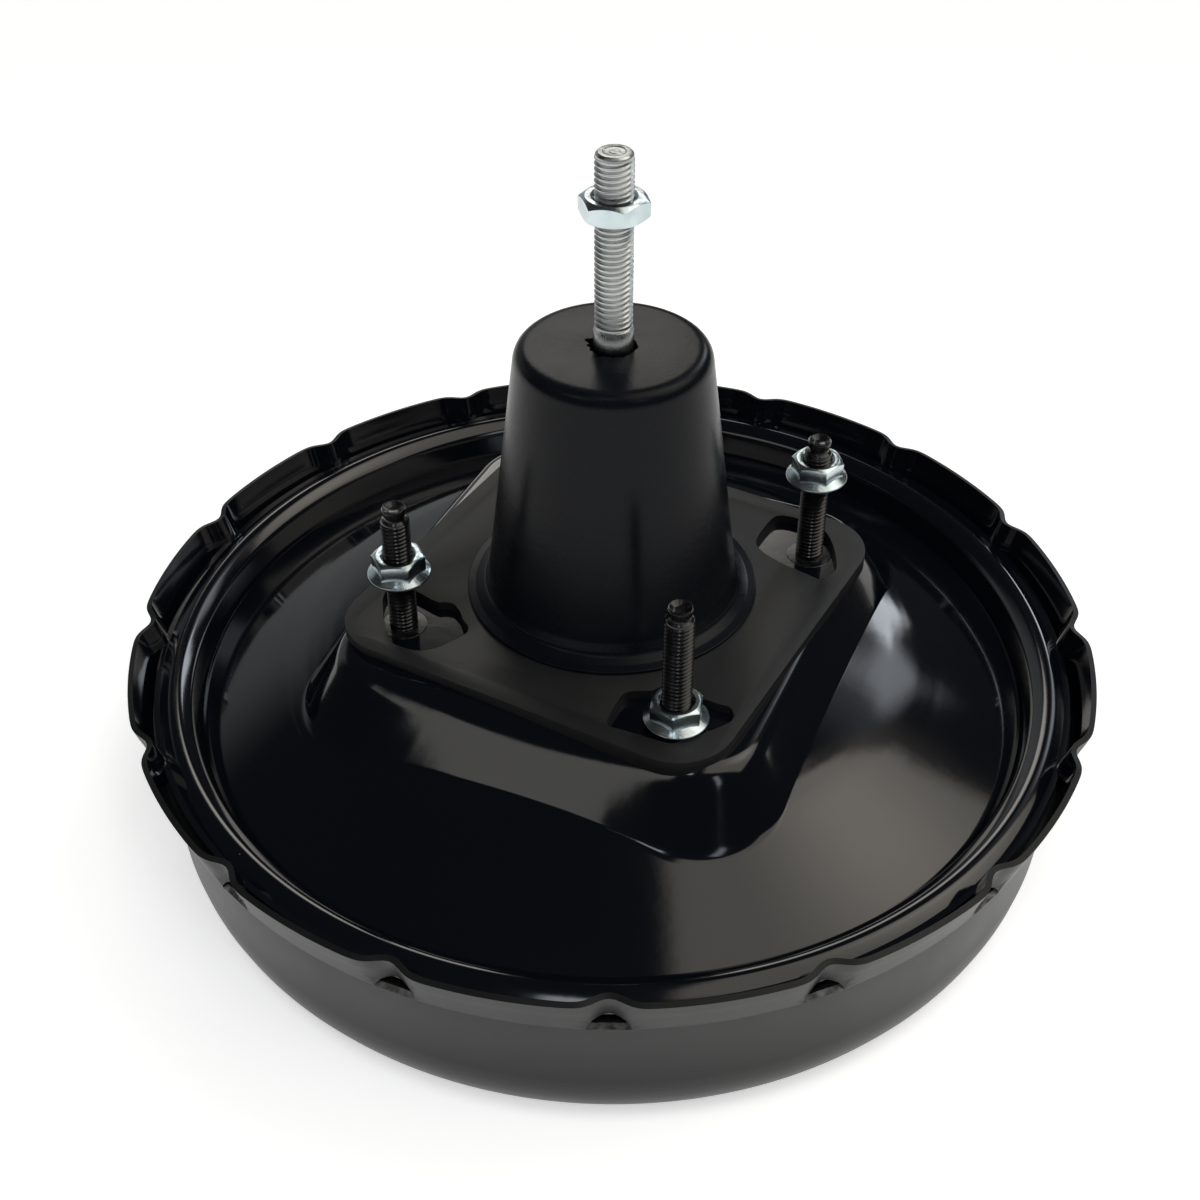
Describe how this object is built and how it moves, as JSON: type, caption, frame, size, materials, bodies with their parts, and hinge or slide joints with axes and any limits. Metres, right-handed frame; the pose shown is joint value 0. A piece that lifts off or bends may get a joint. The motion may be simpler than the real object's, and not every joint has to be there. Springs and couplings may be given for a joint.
{
  "type": "vacuum brake booster",
  "caption": "Round vacuum brake booster with a crimped two-piece drum, studded mounting plate, rubber boot and threaded push rod.",
  "frame": {"origin": "On the booster's axis, in the outer face of the mounting plate that meets the bulkhead.", "axes": "+Z along the axis toward the pedal; +X and +Y along the sides of the square of mounting studs; the booster stands on its front face at z -77 mm."},
  "size_m": [0.2786, 0.2786, 0.2078],
  "materials": {
    "black_paint": "very glossy black baked paint on pressed steel",
    "satin_paint": "satin dark grey paint on pressed steel",
    "zinc": "bright zinc plate",
    "black_oxide": "glossy black oxide on steel",
    "plain_steel": "plain pressed or drawn steel",
    "black_rubber": "semi-gloss moulded rubber",
    "dark_resin": "moulded phenolic resin, matt",
    "black_plastic": "moulded nylon, matt",
    "filter_felt": "open foam and felt"
  },
  "bodies": {
    "housing": {"front_shell": "satin_paint", "rear_shell": "black_paint", "rear_reinforcement": "plain_steel", "mounting_plate": "satin_paint", "boot": "black_rubber", "rear_bearing": "black_plastic", "rear_neck_seal": "black_rubber", "seal_clip": "plain_steel", "front_reinforcement": "plain_steel", "front_seal_retainer": "plain_steel", "front_seal": "black_rubber", "valve_grommet": "black_rubber", "check_valve_body": "black_plastic", "check_valve_flap": "black_rubber", "check_valve_cap": "black_plastic", "firewall_stud_near": "black_oxide", "firewall_stud_right": "black_oxide", "firewall_stud_far": "black_oxide", "firewall_stud_left": "black_oxide", "master_cylinder_stud_left": "zinc", "master_cylinder_stud_right": "zinc"},
    "power_piston": {"valve_body": "dark_resin", "retaining_key": "plain_steel", "piston_plate": "plain_steel", "diaphragm": "black_rubber", "diaphragm_retainer": "plain_steel", "reaction_disc": "black_rubber", "output_rod": "plain_steel", "output_rod_retainer": "plain_steel", "return_spring": "plain_steel", "control_poppet": "black_rubber", "poppet_retainer": "plain_steel", "poppet_spring": "plain_steel", "air_filter": "filter_felt", "silencer": "filter_felt", "filter_cap": "black_plastic"},
    "plunger": {"valve_plunger": "plain_steel", "input_spring": "plain_steel"},
    "push_rod": {"input_rod": "zinc"},
    "jam_nut": {"jam_nut": "zinc"},
    "nut_near": {"flange_nut_near": "zinc"},
    "nut_right": {"flange_nut_right": "zinc"},
    "nut_far": {"flange_nut_far": "zinc"},
    "nut_left": {"flange_nut_left": "zinc"}
  },
  "joints": [
    {"name": "power_stroke", "type": "slide", "parent": "housing", "child": "power_piston", "axis": [0, 0, -1], "range_m": [0, 0.026], "stiffness_N_per_m": 4000, "springref_m": -0.03, "deforming": ["return_spring", "diaphragm"]},
    {"name": "plunger_travel", "type": "slide", "parent": "power_piston", "child": "plunger", "axis": [0, 0, -1], "range_m": [0, 0.002], "stiffness_N_per_m": 2000, "springref_m": -0.01, "deforming": ["input_spring"]},
    {"name": "rod_swivel", "type": "hinge", "parent": "plunger", "child": "push_rod", "pos_m": [0, 0, 0.011], "axis": [1, 0, 0], "range_deg": [-0.5, 0.5]},
    {"name": "jam_nut_travel", "type": "slide", "parent": "push_rod", "child": "jam_nut", "axis": [0, 0, 1], "range_m": [-0.007, 0.011]},
    {"name": "nut_travel_near", "type": "slide", "parent": "housing", "child": "nut_near", "axis": [0, 0, 1], "range_m": [0, 0.0295]},
    {"name": "nut_travel_right", "type": "slide", "parent": "housing", "child": "nut_right", "axis": [0, 0, 1], "range_m": [-0.0247, 0.0063]},
    {"name": "nut_travel_far", "type": "slide", "parent": "housing", "child": "nut_far", "axis": [0, 0, 1], "range_m": [-0.0198, 0.011]},
    {"name": "nut_travel_left", "type": "slide", "parent": "housing", "child": "nut_left", "axis": [0, 0, 1], "range_m": [-0.0152, 0.0155]}
  ]
}
